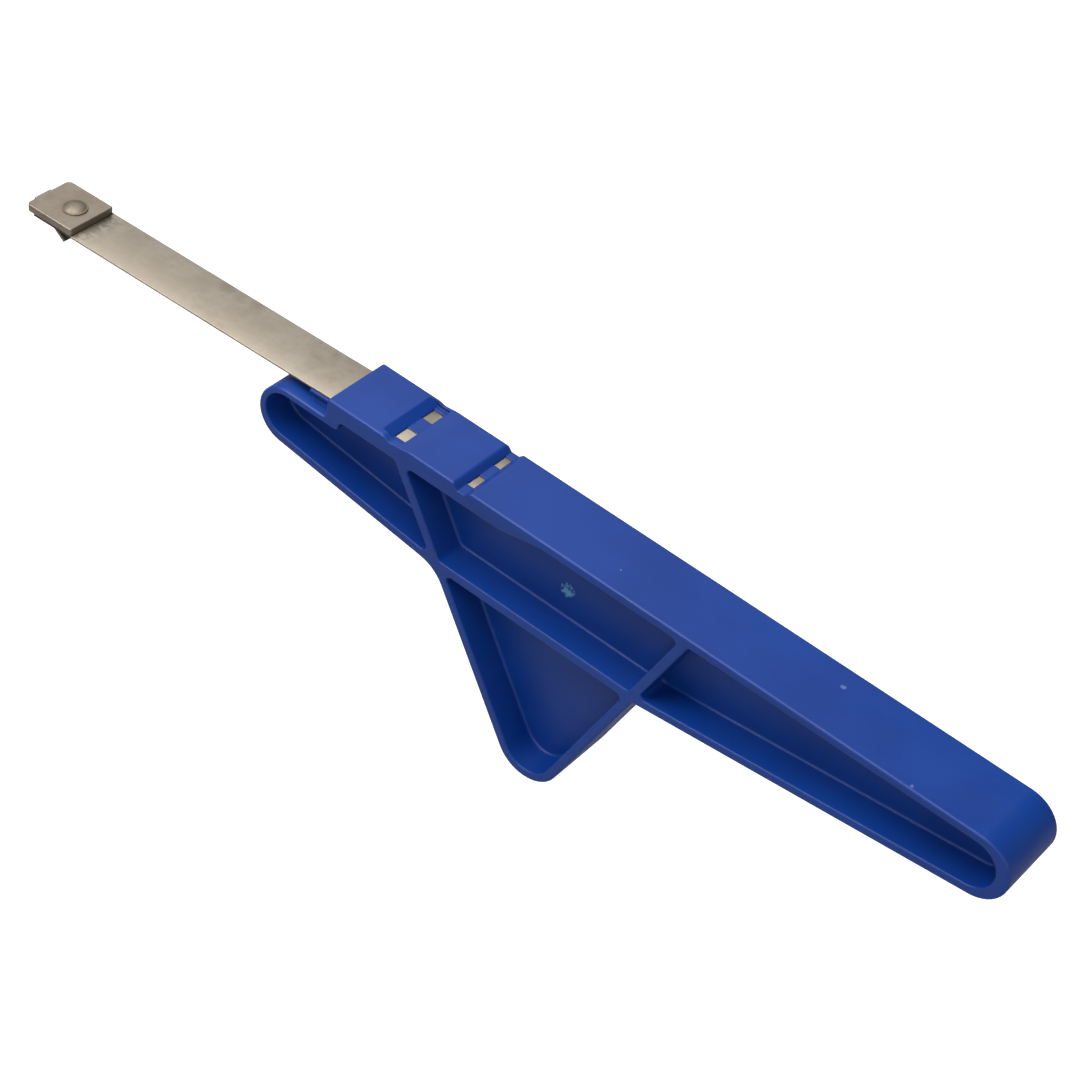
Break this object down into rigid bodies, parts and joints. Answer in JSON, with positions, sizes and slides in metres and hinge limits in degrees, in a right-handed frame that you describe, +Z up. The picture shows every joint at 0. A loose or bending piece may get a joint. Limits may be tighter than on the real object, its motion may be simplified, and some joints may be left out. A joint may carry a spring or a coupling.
{
  "type": "hook-ended strip insertion tool",
  "caption": "Hand tool with a ribbed moulded handle and finger fin, a flat spring-steel blade and a riveted hook head at its tip.",
  "frame": {"origin": "centre of the tool's bounding box", "axes": "+X along the tool from the hook tip to the handle's tail, +Z up from the finger fin to the handle's flat top, +Y through the thickness away from the side that faces the viewer"},
  "size_m": [0.2564, 0.0172, 0.063],
  "materials": {
    "handle_plastic": "satin moulded plastic, saturated blue",
    "spring_steel": "rolled strip, warm grey, slightly stained",
    "plate_steel": "stamped plate, tumbled, warm grey",
    "hook_steel": "stamped sheet, warm grey",
    "rivet_steel": "plain steel rivet, worn dome"
  },
  "bodies": {
    "handle": {"handle": "handle_plastic", "blade": "spring_steel"},
    "head": {"head_plate": "plate_steel", "hook_plate": "hook_steel", "rivet": "rivet_steel"}
  },
  "joints": [
    {"name": "blade_flex", "type": "hinge", "parent": "handle", "child": "head", "pos_m": [-0.06322, 0.0006, 0.02791], "axis": [0, 1, 0], "range_deg": [-15, 15], "stiffness_Nm_per_rad": 0.476, "deforming": ["blade"]}
  ]
}
